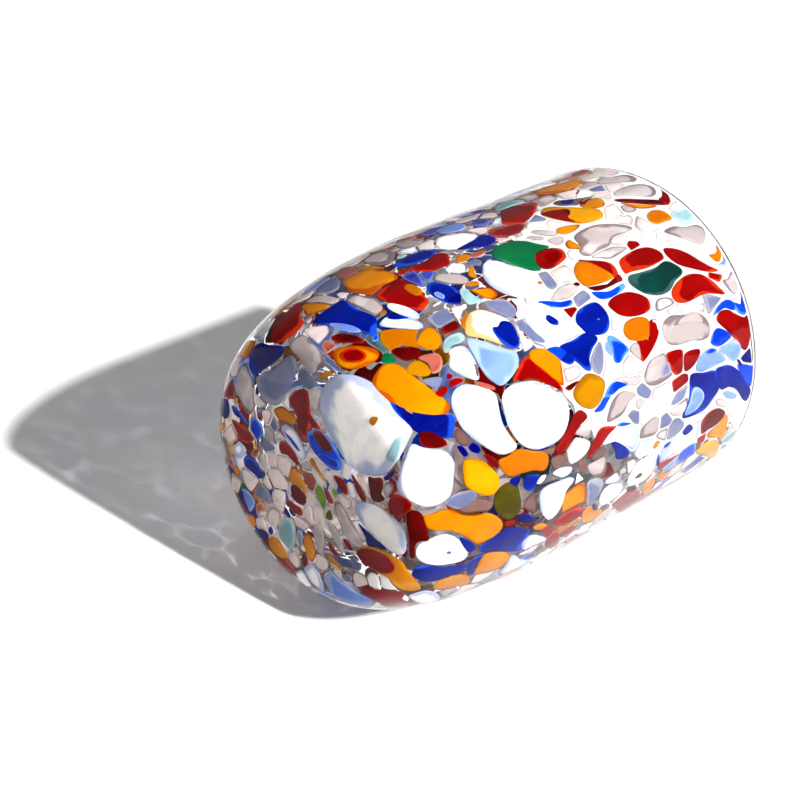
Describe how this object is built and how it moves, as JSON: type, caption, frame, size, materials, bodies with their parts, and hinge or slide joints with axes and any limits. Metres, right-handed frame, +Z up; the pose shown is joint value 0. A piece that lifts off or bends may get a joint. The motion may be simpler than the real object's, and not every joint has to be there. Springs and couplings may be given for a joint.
{
  "type": "glass tumbler",
  "caption": "Hand-blown clear glass tumbler with a thick rounded base, coloured glass chips fused into its outside, lying on its side.",
  "frame": {"origin": "on the surface that the tumbler lies on, below the middle of its length", "axes": "+X along the tumbler's axis from its foot to its mouth, +Z up from the surface that it lies on, +Y to its back"},
  "size_m": [0.106, 0.0798, 0.0798],
  "materials": {
    "amber": "dense amber yellow glass",
    "azure": "bright blue glass, paler at its thin end",
    "bottle_green": "dark blue-green glass",
    "clear_glass": "clear, glossy, slightly wavy, with a few seeds",
    "cobalt": "deep cobalt blue glass, glossy",
    "cream": "cream white glass with an amber edge",
    "green": "clear green glass",
    "lavender": "thin grey-blue glass, half clear",
    "maroon": "dark red-brown glass",
    "navy": "nearly black blue glass, glossy",
    "ochre": "brownish yellow glass",
    "olive": "dark olive glass",
    "orange": "dense orange glass",
    "red": "dense red glass with an orange edge",
    "sky": "pale blue milky glass",
    "white": "opal white glass, milky at its edge",
    "yellow": "bright yellow glass"
  },
  "bodies": {
    "root": {"amber_chip_01": "amber", "amber_chip_02": "amber", "amber_chip_03": "amber", "amber_chip_04": "amber", "amber_chip_05": "amber", "amber_chip_06": "amber", "amber_chip_07": "amber", "azure_chip_01": "azure", "bottle_green_chip_01": "bottle_green", "bottle_green_chip_02": "bottle_green", "clear_glass_body": "clear_glass", "cobalt_chip_01": "cobalt", "cobalt_chip_02": "cobalt", "cobalt_chip_03": "cobalt", "cobalt_chip_04": "cobalt", "cobalt_chip_05": "cobalt", "cobalt_chip_06": "cobalt", "cobalt_chip_07": "cobalt", "cobalt_chip_08": "cobalt", "cream_chip_01": "cream", "green_chip_01": "green", "lavender_chip_01": "lavender", "maroon_chip_01": "maroon", "maroon_chip_02": "maroon", "navy_chip_01": "navy", "ochre_chip_01": "ochre", "olive_chip_01": "olive", "orange_chip_01": "orange", "orange_chip_02": "orange", "orange_chip_03": "orange", "orange_chip_04": "orange", "red_chip_01": "red", "red_chip_02": "red", "red_chip_03": "red", "red_chip_04": "red", "red_chip_05": "red", "red_chip_06": "red", "red_chip_07": "red", "red_chip_08": "red", "red_chip_09": "red", "red_chip_10": "red", "red_chip_11": "red", "red_chip_12": "red", "red_chip_13": "red", "sky_chip_01": "sky", "sky_chip_02": "sky", "sky_chip_03": "sky", "white_chip_01": "white", "white_chip_02": "white", "white_chip_03": "white", "white_chip_04": "white", "white_chip_05": "white", "white_chip_06": "white", "white_chip_07": "white", "white_chip_08": "white", "white_chip_09": "white", "white_chip_10": "white", "yellow_chip_01": "yellow", "yellow_chip_02": "yellow", "yellow_chip_03": "yellow"}
  },
  "joints": []
}
